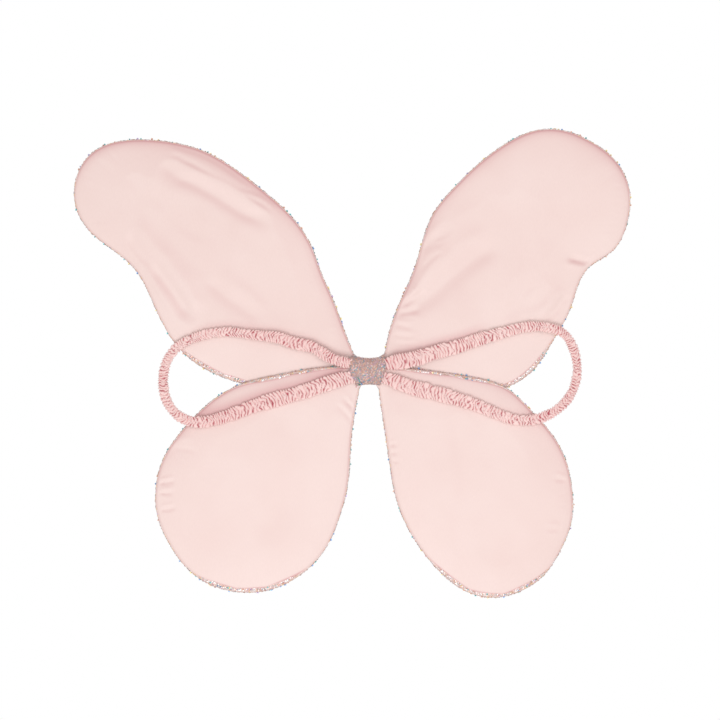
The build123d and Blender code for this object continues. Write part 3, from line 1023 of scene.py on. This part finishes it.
def centre_band():
    """The sequinned strip, pulled tight round the middle, its free side edges open."""
    across, around = 84, 200
    a = (2 * math.pi * np.arange(around) / around)[:, None]
    up, out = signed_power(np.sin(a), 0.78), signed_power(np.cos(a), 0.62)
    left, right = (np.interp(14.8 * up, *side) for side in (BAND_LEFT, BAND_RIGHT))
    u = np.linspace(0, 1, across)
    x = left + (right - left) * u
    # the rims flare towards the sides, and the side edges are pulled in
    bow = np.clip(((x - 1) / 17) ** 2, 0, 1.2)
    reach = np.where(up > 0, 13.1 + 2.9 * bow, 13.4 + 3.1 * bow)
    depth = BAND_DEPTH - 1.4 * np.exp(-(np.minimum(u, 1 - u) / 0.05) ** 2)
    gather = np.abs(np.sin(math.pi * (x / 3.1 + 0.8 * lattice(31, x / 4, a * 1.5 + 9)))) ** 1.4
    push = (0.55 * gather + 0.30 * lattice(33, x / 3.3, a * 5 + 3)
            + 0.125 * lattice(35, x / 1.1, a * 14 + 5))
    verts = np.stack([x, BAND_MID - (depth + push * 0.9 - 0.4) * out, (reach + push * 0.5) * up], 2)
    faces = grid_faces(around, across, closed_rows=True)
    obj = make_object("centre_band_glitter", verts.reshape(-1, 3), faces, BAND)
    face_outwards(obj)
    solid = obj.modifiers.new("cloth", "SOLIDIFY")
    solid.thickness = 0.0009
    solid.offset = -1
    apply_modifiers(obj)
    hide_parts("centre_band")
    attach(obj, "centre")
    return obj


def pleated_block(name, low, high, ridges, seed, material, replaced):
    """A pressed bundle of gathered cloth: a rounded block with folds running along X."""
    along, around = 60, 120
    low, high = np.array(low, float), np.array(high, float)
    centre, size = (low + high) / 2, (high - low) / 2
    x = np.linspace(low[0], high[0], along)[:, None]
    a = np.linspace(0, 2 * math.pi, around, endpoint=False)
    pull = 1 - 0.08 * (1 + np.cos(a * ridges + 2.2 * lattice(seed, x / 6, a * 2)))
    verts = np.stack([np.broadcast_to(x, pull.shape),
                      centre[1] + size[1] * signed_power(np.cos(a), 0.55) * pull,
                      centre[2] + size[2] * signed_power(np.sin(a), 0.55) * pull], 2)
    faces = grid_faces(along, around, closed_columns=True, capped=True)
    obj = make_object(name, verts.reshape(-1, 3), faces, material)
    face_outwards(obj)
    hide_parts(replaced)
    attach(obj, "centre")
    return obj


# the few larger beads by the band's lower corner: x, z, tint and radius
BAND_BEADS = [(-10.6, -7.0, TEAL, 0.75), (-9.6, -8.6, TEAL, 0.8), (-9.0, -10.3, TEAL, 0.75),
              (-8.2, -12.0, GREY, 0.8), (-8.9, -13.6, GREEN, 0.95), (-7.0, -13.0, BLUE, 0.95),
              (-12.2, -15.6, ROSE, 0.8), (-10.0, -15.0, WHITE, 0.7)]
BEAD_Y = -0.2           # from the face on the wearer's back


def band_beads():
    """The beads, joined to one piece."""
    made = []
    for x, z, colour, radius in BAND_BEADS:
        bpy.ops.mesh.primitive_uv_sphere_add(segments=14, ring_count=8, radius=radius * MM,
                                             location=(x * MM, BEAD_Y * MM, z * MM))
        made.append(bpy.context.object)
        point_colour(made[-1], "tint", np.tile(colour, (len(made[-1].data.vertices), 1)))
    bpy.ops.object.select_all(action="DESELECT")
    for obj in made:
        obj.select_set(True)
    bpy.context.view_layer.objects.active = made[0]
    bpy.ops.object.join()
    obj = bpy.context.object
    bpy.ops.object.transform_apply(location=True, rotation=True, scale=True)
    obj.name = "band_beads"
    obj.data.materials.clear()
    obj.data.materials.append(SEQUINS)
    obj.data.polygons.foreach_set("use_smooth", [True] * len(obj.data.polygons))
    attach(obj, "centre")


def paint_cad_nodes():
    """The CAD nodes that stay visible get the finished materials."""
    for name, material in CAD_MATERIALS.items():
        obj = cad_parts[name]
        obj.data.materials.clear()
        obj.data.materials.append(material)


# ------------------------------------------------------------------ stage, metres
FLOOR_Z = -0.95         # low enough to leave room for the light from below
FLOOR_RADIUS = 0.7
CAMERA_PLACE = (-0.0085, -1.989, 0.011)
CAMERA_LENS = 100.0     # millimetres, on a 36 mm wide sensor
# name, place, size and power of the lights, which all look at the middle
LIGHTS = [("front_low", (-0.3, -2.9, -1.2), 1.9, 39.5),
          ("front_high", (0.4, -1.8, 0.35), 1.4, 7.0),
          ("behind", (0.3, 1.9, 0.9), 1.6, 14.0)]


def build_stage():
    bpy.ops.mesh.primitive_circle_add(vertices=128, radius=FLOOR_RADIUS, fill_type="NGON",
                                      location=(0, 0, FLOOR_Z))
    floor = bpy.context.object
    floor.name = "floor"
    material, tree, coords = new_material("pale_floor")
    grain = texture(tree, "Noise", coords, Scale=40.0, Detail=3.0)
    tone = ramp(tree, grain.outputs[0], [(0.3, (0.80, 0.80, 0.80)), (0.7, (0.84, 0.84, 0.84))])
    surface(tree, tone, None, Roughness=0.9)
    floor.data.materials.append(material)


def area_light(name, place, size, power):
    data = bpy.data.lights.new(name, "AREA")
    data.shape = "DISK"
    data.size = size
    data.energy = power
    obj = bpy.data.objects.new(name, data)
    obj.location = place
    obj.rotation_mode = "QUATERNION"
    obj.rotation_quaternion = (-Vector(place)).to_track_quat("-Z", "Y")
    bpy.context.scene.collection.objects.link(obj)


def build_world():
    """White behind the object, and a softer, warmer light from all sides."""
    world = bpy.data.worlds.new("studio")
    bpy.context.scene.world = world
    world.use_nodes = True
    tree = world.node_tree
    tree.nodes.clear()
    seen = node(tree, "ShaderNodeBackground", Color=(1, 1, 1, 1), Strength=1.0)
    felt = node(tree, "ShaderNodeBackground", Color=(1.0, 0.90, 0.88, 1), Strength=0.56)
    path = node(tree, "ShaderNodeLightPath")
    mix = node(tree, "ShaderNodeMixShader")
    out = node(tree, "ShaderNodeOutputWorld")
    tree.links.new(path.outputs["Is Camera Ray"], mix.inputs[0])
    tree.links.new(felt.outputs[0], mix.inputs[1])
    tree.links.new(seen.outputs[0], mix.inputs[2])
    tree.links.new(mix.outputs[0], out.inputs[0])


def build_camera():
    data = bpy.data.cameras.new("camera")
    data.lens = CAMERA_LENS
    data.sensor_width = 36.0
    data.clip_start = 0.05
    data.clip_end = 20.0
    obj = bpy.data.objects.new("camera", data)
    obj.location = CAMERA_PLACE
    obj.rotation_euler = (math.radians(90), 0, 0)
    bpy.context.scene.collection.objects.link(obj)
    bpy.context.scene.camera = obj


# ------------------------------------------------------------------ assembly
build_camera()
build_world()
for light in LIGHTS:
    area_light(*light)
bpy.context.scene.view_settings.view_transform = "Standard"
bpy.context.scene.view_settings.look = "None"
build_stage()
for lobe_name in OUTLINES:
    build_lobe(lobe_name)
for strap_side in STRAPS:
    casing, strap_length = ruched_strap(strap_side)
    band = elastic_band(strap_side)
middle = centre_band()
ends = pleated_block("gathered_cloth_ends", (-17.5, -5.4, -10.8), (15.5, 5.4, 10.8), 14, 51,
                     SATIN, "gathered_fabric_ends")
for strap_side, low_x, high_x in (("left", -17.8, -6.2), ("right", 4.7, 16.3)):
    tab = pleated_block(strap_side + "_strap_tabs", (low_x, -8.3, -8.3), (high_x, -5.9, 9.3), 18,
                        52, RUCHED, strap_side + "_strap_ends")
    point_value(tab, "fold", np.full(len(tab.data.vertices), 0.9))
band_beads()
paint_cad_nodes()
